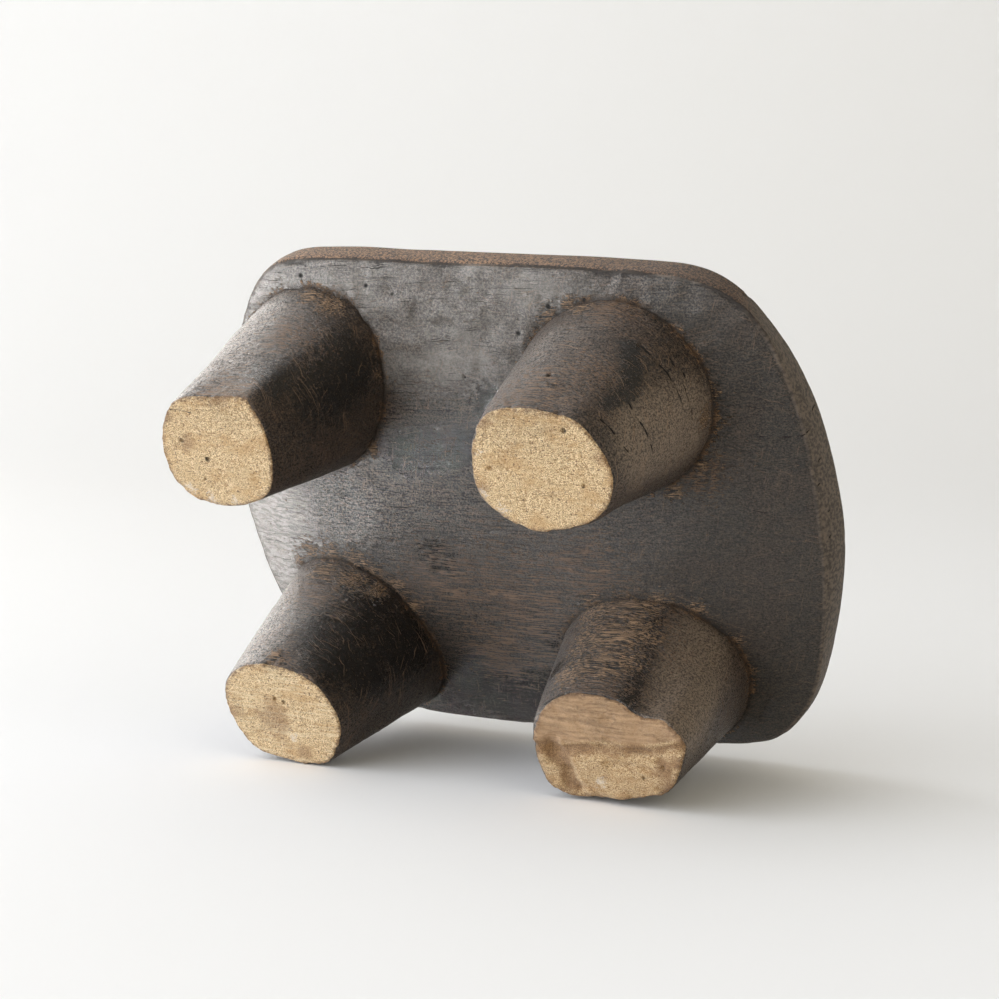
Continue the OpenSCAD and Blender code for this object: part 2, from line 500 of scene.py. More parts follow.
def make_seat():
    """The seat: bulging underside, band and dished sitting face."""
    angles = np.arange(SEAT_AROUND) * 2 * math.pi / SEAT_AROUND
    rim = radius_at(PLAN_CURVE, (0, 0), angles) - 0.6
    arris = radius_at(ARRIS_CURVE, (0, 0), angles) - 0.4
    # Each row of points has a radius, a height and a zone: 0 underside, 1 band, 2 top
    rows = [(arris * share, belly_height(share), 0) for share in np.arange(1, BELLY_RINGS) / BELLY_RINGS]
    for turn in np.radians((0, 30, 60, 90)):
        rows.append((arris - ARRIS_EDGE * (1 - math.sin(turn)),
                     BAND_Z + ARRIS_EDGE * (1 - math.cos(turn)), 1))
    band_top = SEAT_TOP - TOP_EDGE
    for share in np.arange(1, BAND_RINGS) / BAND_RINGS:
        bow = 0.6 * math.sin(math.pi * share)
        rows.append((arris + (rim - arris) * share**0.8 + bow,
                     BAND_Z + ARRIS_EDGE + (band_top - BAND_Z - ARRIS_EDGE) * share, 1))
    for turn in np.radians(np.arange(0, 91, 10)):
        zone = 1 if turn < 0.6 else 2
        rows.append((rim - TOP_EDGE * (1 - math.cos(turn)), band_top + TOP_EDGE * math.sin(turn), zone))
    inner = rim - TOP_EDGE
    for share in 1 - np.arange(1, TOP_RINGS) / TOP_RINGS:
        rows.append((inner * share, SEAT_TOP - DISH * (1 - share**2), 2))
    grid = np.stack([ring((0, 0), radius, angles, height) for radius, height, _ in rows])
    zone = np.broadcast_to(np.array([row[2] for row in rows])[:, None], grid.shape[:2])
    normal = grid_normals(grid)
    z = grid[..., 2]
    below = (zone == 0) | (z < BAND_Z + ARRIS_EDGE)
    away = np.where(below, outside_crease(grid), 99)
    groove = bell(away, 2.2)
    ragged = 0.5 + 0.5 * rough(grid, (5, 3, 4), 21)
    torn = patches(grid, SEAT_TORN)
    relief = hand_work(grid) * np.where(zone == 2, 0.6, 1) * np.where(zone == 1, 0.7, 1)
    relief += np.where(zone == 0, dimples(grid), 0)
    relief -= groove * np.clip(0.1 + 1.5 * ragged, 0, 1.6)
    relief += bell(away - 4, 3) * 0.5 * rough(grid, (7, 3, 4), 24)
    relief += torn * 0.7 * rough(grid, (7, 2.2, 2.6), 26)
    relief += patches(grid, SEAT_RUBBED) * 0.35 * rough(grid, (9, 1.8, 2.4), 25)
    front = smooth(-normal[..., 1], 0.45, 0.8)
    arris_gap = bell(z - BAND_Z - 0.8, 1.1) * smooth(noise(grid, (14, 14, 6), 28), -0.5, 0.2)
    relief -= np.where(zone == 1, arris_gap * smooth(-grid[..., 1], 90, 130) * 0.9, 0)
    rim_wear = smooth(z, BAND_Z - 2, BAND_Z + 1) * smooth(z, BAND_Z + 6, BAND_Z + 2)
    relief -= rim_wear * 0.5 * smooth(noise(grid, (9, 9, 5), 27), 0.1, 0.8)
    relief += marks_relief(grid, SEAT_CRACKS, SEAT_HOLES, SEAT_CUTS)
    # Under a leg, where nothing shows, the seat's surface draws back a little
    relief = np.where(away < -4, -2.5, relief)
    relief -= 2.2 * smooth(stroke_distance(grid, *BAND_NICK), 3.2, 0)
    grid = grid + normal * np.minimum(relief, 1.6)[..., None]
    masks = {
        "crease": bell(np.maximum(away, 0), 4.2),
        "band": (zone == 1).astype(float),
        # The band's front face, which faces the lamps; its lighter tone is partly painted light
        "suede_and_light": (zone == 1) * front,
        "rubbed": patches(grid, SEAT_RUBBED),
        "torn": torn,
        "soot_and_shade": patches(grid, SEAT_SOOT_AND_SHADE),
    }
    return closed_mesh("carved_seat", grid, (0, 0, belly_height(0)), (0, 0, SEAT_TOP - DISH), masks)


LEG_AROUND = 400
SIDE_RINGS = 68
SOLE_RINGS = 46


def bevel_share(points):
    """1 on the sloping facet along the front of the back right sole, 0 beyond it."""
    x, y = points[..., 0], points[..., 1]
    line = 93 - 0.05 * (x - 60) + 3.0 * bell(x - 62, 14) - 4.0 * smooth(x, 118, 142)
    return smooth(y, line + 1.5, line - 1.5), line - y


def gouge_distance(points, stroke):
    """Distance to a stroke, with an uneven edge."""
    return stroke_distance(points, *stroke) + 2.2 * noise(points, (7, 7, 7), 39)


def sole_relief(name, points):
    """How far the sole is worn up from the floor plane, in millimetres."""
    x, y = points[..., 0], points[..., 1]
    worn = 0.22 * rough(points, (5, 5, 5), 31) + 0.14 * noise(points, (1.7, 1.7, 1.7), 34)
    worn = worn + 0.5 * np.maximum(0, noise(points, (13, 9, 9), 35))
    if name == "leg_back_right":
        share, depth = bevel_share(points)
        worn = worn + share * (1.2 + 0.22 * np.maximum(depth, 0))
        worn = worn + 2.6 * bell(depth + 4.5, 4.5)
        worn = worn + 3.6 * smooth(gouge_distance(points, GOUGE), 8.5, 1)
        worn = worn + 1.6 * np.maximum(0, rough(points, (16, 7, 9), 36))
        worn = worn + 2.0 * smooth(y, 118, 130) * smooth(noise(points, (11, 11, 9), 37), -0.3, 0.5)
    if name == "leg_front_left":
        worn = worn + 1.2 * smooth(y, -106, -115)
    if name == "leg_back_left":
        worn = worn + 0.4 * np.maximum(0, rough(points, (22, 3.4, 9), 38))
        worn = worn + 0.7 * patches(points, [((-134, 104, 0), 15)])
    return worn


def make_leg(name):
    """A tapered leg with its rounded, chipped sole and the crease at the seat."""
    angles = np.arange(LEG_AROUND) * 2 * math.pi / LEG_AROUND
    rings = leg_rings(LEGS[name], angles)
    crease = leg_crease(rings, angles)
    centre, sole_radius = rings[0], rings[1]
    rows = []
    kinds = []
    for share in np.arange(1, SOLE_RINGS) / SOLE_RINGS:
        rows.append(ring(centre, (sole_radius - SOLE_EDGE) * share, angles, 0))
        kinds.append(1.0)
    for turn in np.radians((0, 30, 60)):
        r = sole_radius - SOLE_EDGE * (1 - math.sin(turn))
        rows.append(ring(centre, r, angles, SOLE_EDGE * (1 - math.cos(turn))))
        kinds.append(1.0 - 0.35 * math.sin(turn))
    for share in np.linspace(0, 1, SIDE_RINGS) ** 0.95:
        z = SOLE_EDGE + (crease + SINK - SOLE_EDGE) * share
        x, y = leg_point(rings, angles, z)
        rows.append(np.stack([x, y, z], 1))
        kinds.append(0.0)
    grid = np.stack(rows)
    kind = np.broadcast_to(np.array(kinds)[:, None], grid.shape[:2])
    normal = grid_normals(grid)
    side = kind == 0
    z = grid[..., 2]
    below_crease = crease - z
    groove = bell(below_crease, 2.0)
    ragged = 0.5 + 0.5 * rough(grid, (5, 4, 3), 41)
    torn = patches(grid, LEG_TORN[name])
    rubbed = patches(grid, LEG_RUBBED[name])
    relief = hand_work(grid) * (0.35 + 0.65 * smooth(z, -1, 6))
    relief += 0.45 * noise(grid, (16, 16, 60), 44) + 0.12 * rough(grid, (7, 3, 2.4), 50)
    relief -= groove * np.clip(1.4 * ragged - 0.2, 0, 1.2)
    relief += bell(below_crease - 4, 3) * 0.4 * rough(grid, (7, 4, 3), 43)
    relief += rubbed * 0.25 * rough(grid, (8, 4, 1.6), 45)
    relief += torn * 0.75 * rough(grid, (9, 4, 2.2), 46)
    relief[~side] = 0
    ragged_rim = smooth(z, 5, 0) * (0.45 * noise(grid, (5, 5, 9), 48) + 0.3 * noise(grid, (2.2, 2.2, 5), 49))
    chips = smooth(z, 4.5, 0) * smooth(noise(grid, (7, 7, 7), 47), 0.35, 0.9)
    relief += np.where(side | (kind < 1), ragged_rim - 1.3 * chips, 0)
    relief += marks_relief(grid, LEG_CRACKS[name], LEG_HOLES[name])
    grid = grid + normal * np.minimum(relief, 1.4)[..., None]
    lift = np.maximum(sole_relief(name, grid), 0) * smooth(grid[..., 2], 8, 0)
    stain_and_shade = patches(grid, SOLE_STAINS[name])
    bevel = np.zeros(kind.shape)
    if name == "leg_back_right":
        bevel, depth = bevel_share(grid)
        stain_and_shade = np.maximum(stain_and_shade, 0.22)
        # The groove at the foot of the bevel and the gouge are painted dark brown: partly staining, partly
        # painted shade.
        stain_and_shade = np.maximum(stain_and_shade, 0.95 * bell(depth + 4.5, 5.0))
        stain_and_shade = np.maximum(stain_and_shade, 1.15 * smooth(gouge_distance(grid, GOUGE_STAIN_AND_SHADE), 9, 2))
    grid[..., 2] = np.maximum(grid[..., 2] + lift, 0)
    out = np.linalg.norm(grid[..., :2] - centre, axis=-1) / sole_radius
    masks = {
        "crease": np.where(side, bell(np.maximum(below_crease, 0), 4.0), 0),
        "sole": kind,
        "rubbed": rubbed,
        "torn": torn,
        "soot_and_shade": patches(grid, LEG_SOOT[name]),
        "dry": patches(grid, LEG_DRY[name]),
        "stain_and_shade": stain_and_shade,
        "bevel": bevel,
        "scuff": patches(grid, SOLE_SCUFFS[name]),
        "rim": np.where(kind > 0, smooth(out, 0.8, 1), 1),
    }
    top = np.array([*rings[2], float(crease.mean() + SINK)])
    start = np.array([*centre, float(grid[0, :, 2].mean())])
    return closed_mesh("carved_" + name, grid, start, top, masks)


# ---------------------------------------------------------------- materials

class Nodes:
    """The nodes of a material or of the world, with short calls to add and join them."""

    def __init__(self, owner):
        owner.use_nodes = True
        self.tree = owner.node_tree

    def add(self, kind, **inputs):
        node = self.tree.nodes.new(kind)
        for name, value in inputs.items():
            self.join(value, node.inputs[name])
        return node

    def join(self, value, socket):
        if isinstance(value, bpy.types.NodeSocket):
            self.tree.links.new(value, socket)
        else:
            socket.default_value = value

    def maths(self, kind, operation, *values):
        """A maths node of a kind, with its inputs joined in order."""
        node = self.tree.nodes.new(kind)
        node.operation = operation
        for value, socket in zip(values, node.inputs):
            self.join(value, socket)
        return node

    def vector(self, operation, *values):
        return self.maths("ShaderNodeVectorMath", operation, *values).outputs["Vector"]

    def measure(self, operation, *values):
        """The number that a dot product or a length gives."""
        return self.maths("ShaderNodeVectorMath", operation, *values).outputs["Value"]

    def sum(self, operation, a, b):
        return self.maths("ShaderNodeMath", operation, a, b).outputs[0]

    def times(self, a, b):
        return self.sum("MULTIPLY", a, b)

    def plus(self, a, b):
        return self.sum("ADD", a, b)

    def step(self, value, low, high, bottom=0.0, top=1.0):
        """bottom at low and top at high, with a smooth step between."""
        node = self.add("ShaderNodeMapRange", **{"Value": value, "From Min": low, "From Max": high,
                                                 "To Min": bottom, "To Max": top})
        node.interpolation_type = "SMOOTHSTEP"
        return node.outputs["Result"]

    def mix(self, share, a, b):
        node = self.tree.nodes.new("ShaderNodeMix")
        node.data_type = "RGBA"
        self.join(share, node.inputs[0])
        self.join(a, node.inputs[6])
        self.join(b, node.inputs[7])
        return node.outputs[2]

    def blend(self, share, a, b):
        """A number between a and b."""
        node = self.tree.nodes.new("ShaderNodeMix")
        self.join(share, node.inputs[0])
        self.join(a, node.inputs[2])
        self.join(b, node.inputs[3])
        return node.outputs[0]


class Wood(Nodes):
    """A wood's material, with calls for the noises and strokes that its pattern is made of."""

    def __init__(self, name):
        self.material = bpy.data.materials.new(name)
        super().__init__(self.material)
        self.shader = self.tree.nodes["Principled BSDF"]
        place = self.tree.nodes.new("ShaderNodeTexCoord").outputs["Object"]
        self.place = self.vector("MULTIPLY", place, (1 / MM,) * 3)
        wobble = self.add("ShaderNodeTexNoise", Vector=self.vector("MULTIPLY", self.place, (0.12,) * 3),
                          Scale=1.0, Detail=3.0).outputs["Color"]
        wobble = self.vector("SUBTRACT", wobble, (0.5,) * 3)
        self.warped = self.vector("ADD", self.place, self.vector("MULTIPLY", wobble, (3.2,) * 3))

    def ragged(self, value, strength):
        """A value that the crumbs move up and down, so that its edges break up."""
        return self.plus(value, self.times(self.plus(self.crumb, -0.5), strength))

    def turned(self, angles, shift):
        """The place turned about the three axes by angles in degrees, and moved."""
        node = self.tree.nodes.new("ShaderNodeMapping")
        self.join(self.warped, node.inputs["Vector"])
        node.inputs["Rotation"].default_value = [math.radians(angle) for angle in angles]
        node.inputs["Location"].default_value = (shift, 2 * shift, 3 * shift)
        return node.outputs["Vector"]

    def noise(self, cell, detail=3.0, warp=False, roughness=0.55, where=None):
        """A noise whose bumps are cell millimetres across."""
        where = where or (self.warped if warp else self.place)
        scaled = self.vector("MULTIPLY", where, tuple(1 / c for c in cell))
        node = self.add("ShaderNodeTexNoise", Vector=scaled, Scale=1.0, Detail=detail, Roughness=roughness)
        return node.outputs["Fac"]

    def mask(self, name):
        node = self.tree.nodes.new("ShaderNodeAttribute")
        node.attribute_name = name
        return node.outputs["Fac"]

    def stroke(self, a, b, width):
        """1 on the stroke from a to b and 0 beyond its width."""
        a, b = Vector(a), Vector(b)
        length = max((b - a).length, 0.01)
        direction = tuple((b - a) / length) if length > 0.01 else (1, 0, 0)
        offset = self.vector("SUBTRACT", self.warped, tuple(a))
        along = self.sum("MAXIMUM", self.measure("DOT_PRODUCT", offset, direction), 0.0)
        scaled = self.maths("ShaderNodeVectorMath", "SCALE", direction)
        self.join(self.sum("MINIMUM", along, length), scaled.inputs["Scale"])
        distance = self.measure("LENGTH", self.vector("SUBTRACT", offset, scaled.outputs["Vector"]))
        return self.step(distance, 0.25 * width, 0.75 * width, 1.0, 0.0)

    def strokes(self, marks):
        """The strongest of several strokes."""
        total = 0.0
        for a, b, width in marks:
            one = self.stroke(a, b, width)
            total = one if total == 0.0 else self.sum("MAXIMUM", total, one)
        return total

    def finish(self, coat):
        """A coat's colour and roughness to the shader, and its height in millimetres as bump."""
        bump = self.add("ShaderNodeBump", Height=coat.height, Distance=MM, Strength=1.0)
        self.join(coat.colour, self.shader.inputs["Base Color"])
        self.join(coat.roughness, self.shader.inputs["Roughness"])
        self.join(bump.outputs["Normal"], self.shader.inputs["Normal"])
        return self.material


def rgb(r, g, b):
    """A colour from the 0 to 255 values that a screen shows."""
    linear = [(c / 255 / 12.92 if c < 11 else ((c / 255 + 0.055) / 1.055) ** 2.4) for c in (r, g, b)]
    return (*linear, 1.0)


class Coat:
    """The colour, roughness and height of a surface, changed layer by layer."""

    def __init__(self, wood, colour, roughness, height):
        self.wood, self.colour, self.roughness, self.height = wood, colour, roughness, height

    def paint(self, share, tone, roughness=None, rise=None):
        """Covers a share of the surface with a tone, and raises or lowers it there."""
        wood = self.wood
        self.colour = wood.mix(share, self.colour, tone)
        if roughness is not None:
            self.roughness = wood.blend(share, self.roughness, roughness)
        if rise is not None:
            self.height = wood.plus(self.height, wood.times(share, rise))


def dark_patina(wood, dark, light):
    """The dark handled surface: streaked along the grain, pitted and dusty."""
    wood.streak = wood.noise((34, 2.2, 1.6), 4.0, warp=True)
    wood.fine = wood.noise((26, 0.8, 0.7), 3.0)
    wood.cloud = wood.noise((44, 34, 30), 4.0)
    wood.grit = wood.noise((1.2, 1.1, 1.1), 3.0, roughness=0.75)
    wood.crumb = wood.noise((3.4, 2.2, 2.2), 4.0, roughness=0.75)
    base = wood.mix(wood.step(wood.streak, 0.38, 0.62), dark, light)
    roughness = wood.plus(wood.times(wood.cloud, 0.34), wood.times(wood.grit, 0.22))
    coat = Coat(wood, base, wood.plus(roughness, 0.06), wood.times(wood.streak, 0.30))
    coat.paint(wood.step(wood.cloud, 0.50, 0.62, 0.0, 0.7), rgb(54, 40, 31))
    coat.paint(wood.step(wood.crumb, 0.52, 0.60, 0.0, 0.45), rgb(80, 65, 52), 0.5)
    coat.paint(wood.step(wood.fine, 0.55, 0.64, 0.0, 0.5), rgb(100, 82, 66), 0.7, 0.08)
    coat.paint(wood.step(wood.fine, 0.45, 0.38, 0.0, 0.6), rgb(9, 8, 7), 1.0, -0.16)
    coat.paint(wood.step(wood.grit, 0.48, 0.42, 0.0, 0.8), rgb(9, 8, 7), 1.0, -0.10)
    coat.paint(wood.step(wood.grit, 0.55, 0.61, 0.0, 0.38), rgb(126, 104, 84), 0.8)
    coat.height = wood.plus(coat.height, wood.times(wood.grit, 0.12))
    coat.height = wood.plus(coat.height, wood.times(wood.crumb, 0.26))
    return coat


def lines(wood, angles, cell, shift, low, high):
    """Long thin broken lines: where a turned set of thin sheets meets the surface."""
    sheets = wood.noise(cell, 1.0, where=wood.turned(angles, shift))
    broken = wood.step(wood.noise((20, 20, 20), 2.0, where=wood.turned((0, 0, 0), shift)), 0.46, 0.56)
    return wood.times(wood.step(sheets, low, high), broken)


def scratches(wood, coat, sets, strength=0.6):
    """Thin pale scratches, each set running its own way."""
    for angles, cell, shift in sets:
        share = lines(wood, angles, cell, shift, 0.66, 0.70)
        coat.paint(wood.times(share, strength), rgb(150, 120, 94), 0.7, -0.10)


def soot_and_shade(wood, coat):
    """Black stains with worn-through brown flecks; at the back of the seat's underside the black is painted
    shade.
    """
    share = wood.ragged(wood.mask("soot_and_shade"), 2.2)
    # Nearly black: stains, and painted shade at the back of the seat's underside.
    coat.paint(wood.step(share, 0.15, 0.65, 0.0, 0.9), rgb(12, 11, 10), 0.13)
    flecks = wood.times(wood.step(wood.grit, 0.56, 0.64), wood.step(wood.streak, 0.50, 0.60, 0.0, 0.6))
    coat.paint(wood.times(flecks, wood.mask("soot_and_shade")), rgb(104, 82, 62), 0.8)


def rubbed_wood(wood, coat):
    """Brown scratchy wood where the patina is rubbed through, and torn fibres."""
    brush = wood.noise((24, 0.75, 0.7), 4.0, roughness=0.65)
    worn = wood.ragged(wood.plus(wood.times(wood.mask("rubbed"), 0.36), brush), 0.9)
    tone = wood.mix(wood.step(brush, 0.44, 0.58), rgb(27, 20, 15), rgb(124, 95, 70))
    coat.paint(wood.step(worn, 0.70, 0.94, 0.0, 0.8), tone, 0.75, wood.times(brush, 0.8))
    fibre = wood.mix(wood.step(brush, 0.46, 0.55), rgb(12, 9, 7), rgb(174, 140, 106))
    torn = wood.ragged(wood.mask("torn"), 3.0)
    coat.paint(wood.step(torn, 0.35, 0.85, 0.0, 0.85), fibre, 0.9, wood.times(brush, 1.8))


def creases(wood, coat):
    """Broken crumbs of torn wood in the crease between a leg and the seat, and painted shade along the
    crease line.
    """
    ring = wood.mask("crease")
    patch = wood.step(wood.noise((15, 15, 15), 2.0), 0.46, 0.56, 0.1, 1.0)
    crumbs = wood.times(wood.step(wood.ragged(ring, 3.2), 0.62, 0.95, 0.0, 0.85), patch)
    tone = wood.mix(wood.step(wood.grit, 0.43, 0.57), rgb(44, 30, 21), rgb(160, 122, 84))
    coat.paint(crumbs, tone, 0.9, wood.times(wood.grit, 0.8))
    # Painted shade: the crease line itself is painted nearly black.
    dark = wood.plus(ring, wood.times(wood.plus(wood.grit, -0.5), 1.6))
    coat.paint(wood.step(dark, 0.88, 1.08, 0.0, 0.8), rgb(18, 13, 10), 0.95)


def dark_marks(wood, coat, cracks, holes):
    """Cracks and worm holes: nearly black and deep."""
    strokes = cracks + [(centre, centre, 2 * radius) for centre, radius in holes]
    coat.paint(wood.strokes(strokes), rgb(10, 8, 6), 1.0)


def underside(wood, coat, place, pores):
    """The underside: a pale silvery front, partly its leathery patina and partly painted sheen; a pale left
    end that is a painted highlight; the dull right; and checks along the grain.
    """
    x, y, z = place
    under = wood.step(z, 126.0, 118.0)
    front = wood.times(wood.step(wood.ragged(y, 60.0), -66.0, -106.0), under)
    # Pale silvery grey over the front of the underside: partly its patina, partly painted sheen.
    silver_sheen = wood.times(front, wood.step(x, 110.0, 30.0))
    tone = wood.mix(wood.step(pores, 0.45, 0.56), rgb(42, 38, 35), rgb(122, 115, 107))
    coat.paint(wood.times(silver_sheen, 0.55), tone, 0.30, wood.times(pores, 0.40))
    coat.paint(wood.times(silver_sheen, wood.step(wood.cloud, 0.66, 0.34, 0.0, 0.5)), rgb(134, 128, 121), 0.26)
    # Painted highlight: the left end of the underside is painted pale grey.
    left = wood.step(wood.ragged(x, 30.0), -126.0, -180.0, 0.0, 0.9)
    left = wood.times(left, under)
    coat.paint(left, wood.mix(wood.step(wood.streak, 0.4, 0.6), rgb(108, 102, 96), rgb(158, 151, 143)), 0.26)
    olive = wood.step(x, 40.0, 150.0)
    coat.paint(wood.times(olive, 0.4), rgb(50, 46, 40), 0.6)
    checks = lines(wood, (0, 0, 2), (30, 0.55, 30), 7.0, 0.36, 0.32)
    coat.paint(wood.times(checks, wood.step(x, 90.0, -20.0, 0.3, 0.85)), rgb(10, 9, 8), 1.0, -0.35)


def edge_band(wood, coat, place, pores):
    """The band round the seat: end grain, a warm leathery front face partly painted light, and a dark broken
    line below it.
    """
    x, y, z = place
    band, suede_and_light = wood.mask("band"), wood.mask("suede_and_light")
    end_grain = wood.mix(wood.step(wood.streak, 0.36, 0.64), rgb(56, 48, 41), rgb(106, 92, 78))
    coat.paint(wood.times(band, 0.85), end_grain, 0.65, wood.times(pores, 0.6))
    pored = wood.step(pores, 0.46, 0.55)
    # The front face gets a lighter, warmer tone than the rest of the band: partly its own wood, partly
    # painted light where it faces the lamps. It grows darker towards the right.
    warm = wood.mix(wood.step(x, 0.0, 150.0, 0.0, 0.75),
                    wood.mix(pored, rgb(44, 31, 23), rgb(160, 121, 86)),
                    wood.mix(pored, rgb(22, 16, 13), rgb(82, 61, 46)))
    coat.paint(wood.times(suede_and_light, 0.85), warm, 0.8, wood.times(pores, 0.6))
    lip = wood.ragged(z, 3.0)
    line = wood.times(wood.step(lip, BAND_Z + 1.7, BAND_Z + 0.9), wood.step(lip, BAND_Z - 0.6, BAND_Z - 0.1))
    line = wood.times(line, wood.step(wood.cloud, 0.42, 0.54, 0.0, 0.7))
    coat.paint(wood.times(line, wood.step(y, -100.0, -135.0)), rgb(18, 12, 9), 0.95, -0.4)


def seat_material():
    """The seat: patina, a leathery and rubbed underside partly painted with sheen, highlight and shade, and
    the band.
    """
    wood = Wood("dark_patina_wood")
    coat = dark_patina(wood, rgb(21, 19, 18), rgb(46, 40, 34))
    separate = wood.add("ShaderNodeSeparateXYZ", Vector=wood.place)
    place = [separate.outputs[axis] for axis in "XYZ"]
    pores = wood.noise((1.6, 1.4, 1.4), 4.0, roughness=0.85)
    underside(wood, coat, place, pores)
    soot_and_shade(wood, coat)
    rubbed_wood(wood, coat)
    scratches(wood, coat, [((0, 0, 12), (26, 0.6, 26), 3.0), ((0, 0, -22), (22, 0.6, 22), 9.0),
                           ((0, 0, 74), (18, 0.6, 18), 15.0)], 0.22)
    edge_band(wood, coat, place, pores)
    creases(wood, coat)
    dark_marks(wood, coat, SEAT_CRACKS, SEAT_HOLES)
    return wood.finish(coat)


def sole_wood(wood, coat, name):
    """The bare straw-coloured wood of a sole, with its stains, scuffs and dirty rim; in the back right
    sole's groove and gouge the stains are partly painted shade.
    """
    speck = wood.noise((1.5, 1.4, 1.4), 2.0)
    patch = wood.noise((20, 13, 13), 5.0, roughness=0.65)
    sand = wood.noise((0.7, 0.65, 0.65), 2.0, roughness=0.8)
    grain = wood.noise((2.6, 2.2, 2.2), 4.0, roughness=0.7)
    layer = wood.noise((26, 1.3, 1.3), 3.0)
    straw = wood.mix(wood.step(sand, 0.38, 0.62), rgb(150, 115, 72), rgb(244, 218, 172))
    straw = wood.mix(wood.step(grain, 0.46, 0.38, 0.0, 0.5), straw, rgb(140, 104, 64))
    straw = wood.mix(wood.step(grain, 0.56, 0.66, 0.0, 0.5), straw, rgb(246, 224, 184))
    straw = wood.mix(wood.step(patch, 0.46, 0.64, 0.0, 0.5), straw, rgb(182, 140, 86))
    if name == "leg_back_left":
        straw = wood.mix(wood.step(layer, 0.50, 0.62, 0.0, 0.5), straw, rgb(228, 208, 170))
    straw = wood.mix(wood.step(speck, 0.60, 0.68, 0.0, 0.85), straw, rgb(84, 58, 36))
    uneven = wood.times(wood.plus(patch, -0.5), 2.6)
    grime = wood.mix(wood.step(sand, 0.4, 0.6), rgb(92, 66, 44), rgb(166, 130, 90))
    worn = name == "leg_back_right"
    stain_and_shade = wood.step(wood.plus(wood.mask("stain_and_shade"), uneven), 0.30, 1.05, 0.0, 0.9 if worn else 0.5)
    straw = wood.mix(stain_and_shade, straw, grime)
    if worn:
        straw = wood.mix(0.32, straw, rgb(142, 104, 60))
        cut = wood.mix(wood.step(wood.streak, 0.30, 0.70), rgb(134, 104, 74), rgb(178, 143, 106))
        straw = wood.mix(wood.times(wood.mask("bevel"), 0.85), straw, cut)
    scuff = wood.ragged(wood.mask("scuff"), 3.0)
    straw = wood.mix(wood.step(scuff, 0.75, 1.10, 0.0, 0.55), straw, rgb(226, 216, 200))
    rim = wood.ragged(wood.mask("rim"), 1.8)
    straw = wood.mix(wood.step(rim, 0.70, 1.20, 0.0, 0.85), straw, rgb(108, 78, 52))
    sole = wood.step(wood.plus(wood.mask("sole"), wood.times(wood.plus(speck, -0.5), 0.6)), 0.52, 0.74)
    coat.paint(sole, straw, 0.95, wood.times(sand, 0.6))


def leg_material(name):
    """A leg: patina on its side and bare straw-coloured wood on its sole."""
    wood = Wood("leg_wood_" + name)
    coat = dark_patina(wood, rgb(22, 17, 13), rgb(56, 42, 31))
    dry = wood.ragged(wood.mask("dry"), 1.0)
    olive = wood.mix(wood.step(wood.grit, 0.40, 0.60), rgb(68, 57, 48), rgb(134, 117, 99))
    coat.paint(wood.step(dry, 0.15, 0.8, 0.0, 0.8), olive, 0.6)
    soot_and_shade(wood, coat)
    rubbed_wood(wood, coat)
    scratches(wood, coat, [((0, 9, 0), (40, 40, 0.55), 5.0), ((14, -16, 0), (32, 32, 0.55), 12.0),
                           ((50, 20, 0), (24, 24, 0.55), 21.0)], 0.42)
    creases(wood, coat)
    sole_wood(wood, coat, name)
    dark_marks(wood, coat, LEG_CRACKS[name], LEG_HOLES[name])
    return wood.finish(coat)


# ---------------------------------------------------------------- the object

seat = make_seat()
seat.data.materials.append(seat_material())
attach(seat, "root")
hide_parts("seat")

for leg_name in LEGS:
    leg_piece = make_leg(leg_name)
    leg_piece.data.materials.append(leg_material(leg_name))
    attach(leg_piece, "root")
    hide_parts(leg_name)

# ---------------------------------------------------------------- camera

scene = bpy.context.scene
scene.view_settings.view_transform = "Standard"
camera_data = bpy.data.cameras.new("camera")
camera_data.lens = 85
camera_data.sensor_width = 36
camera = bpy.data.objects.new("camera", camera_data)
camera.location = (0.659, -0.5897, -1.0157)
camera.rotation_euler = [math.radians(angle) for angle in (151.051, -26.355, 10.068)]
scene.collection.objects.link(camera)
scene.camera = camera

# ---------------------------------------------------------------- stage and light
# The object lies on its back side, so the table it lies on leans against +Y.

TABLE_UP = Vector((0, -0.9425, 0.3342)).normalized()
# Along the table away from the camera, and along it to the right
turn = camera.rotation_euler.to_matrix()
FORWARD = -(turn @ Vector((0, 0, 1)))
BACK = (FORWARD - TABLE_UP * FORWARD.dot(TABLE_UP)).normalized()
SIDE = BACK.cross(TABLE_UP)


def one_sided(name, shade):
    """A plain pale surface that can't be seen from behind."""
    material = bpy.data.materials.new(name)
    paper = Nodes(material)
    shader = paper.tree.nodes["Principled BSDF"]
    for socket, value in (("Base Color", (*shade, 1)), ("Roughness", 0.9), ("Specular IOR Level", 0.1)):
        shader.inputs[socket].default_value = value
    clear = paper.add("ShaderNodeBsdfTransparent")
    behind = paper.add("ShaderNodeNewGeometry").outputs["Backfacing"]
    choose = paper.add("ShaderNodeMixShader")
    for value, socket in zip((behind, shader.outputs[0], clear.outputs[0]), choose.inputs):
        paper.join(value, socket)
    paper.join(choose.outputs[0], paper.tree.nodes["Material Output"].inputs["Surface"])
    return material


def sheet(name, profile, half_width, origin, along, up, across, material):
    """A wide sheet that follows a profile of (along, up) points."""
    points = []
    for a, u in profile:
        for w in (-half_width, half_width):
            points.append(tuple(origin + along * a + up * u + across * w))
    faces = [(2 * k, 2 * k + 1, 2 * k + 3, 2 * k + 2) for k in range(len(profile) - 1)]
    mesh = bpy.data.meshes.new(name)
    mesh.from_pydata(points, [], faces)
    if mesh.polygons[0].normal.dot(up) < 0:
        mesh.flip_normals()
    mesh.polygons.foreach_set("use_smooth", [True] * len(faces))
    mesh.materials.append(material)
    item = bpy.data.objects.new(name, mesh)
    scene.collection.objects.link(item)
    return item


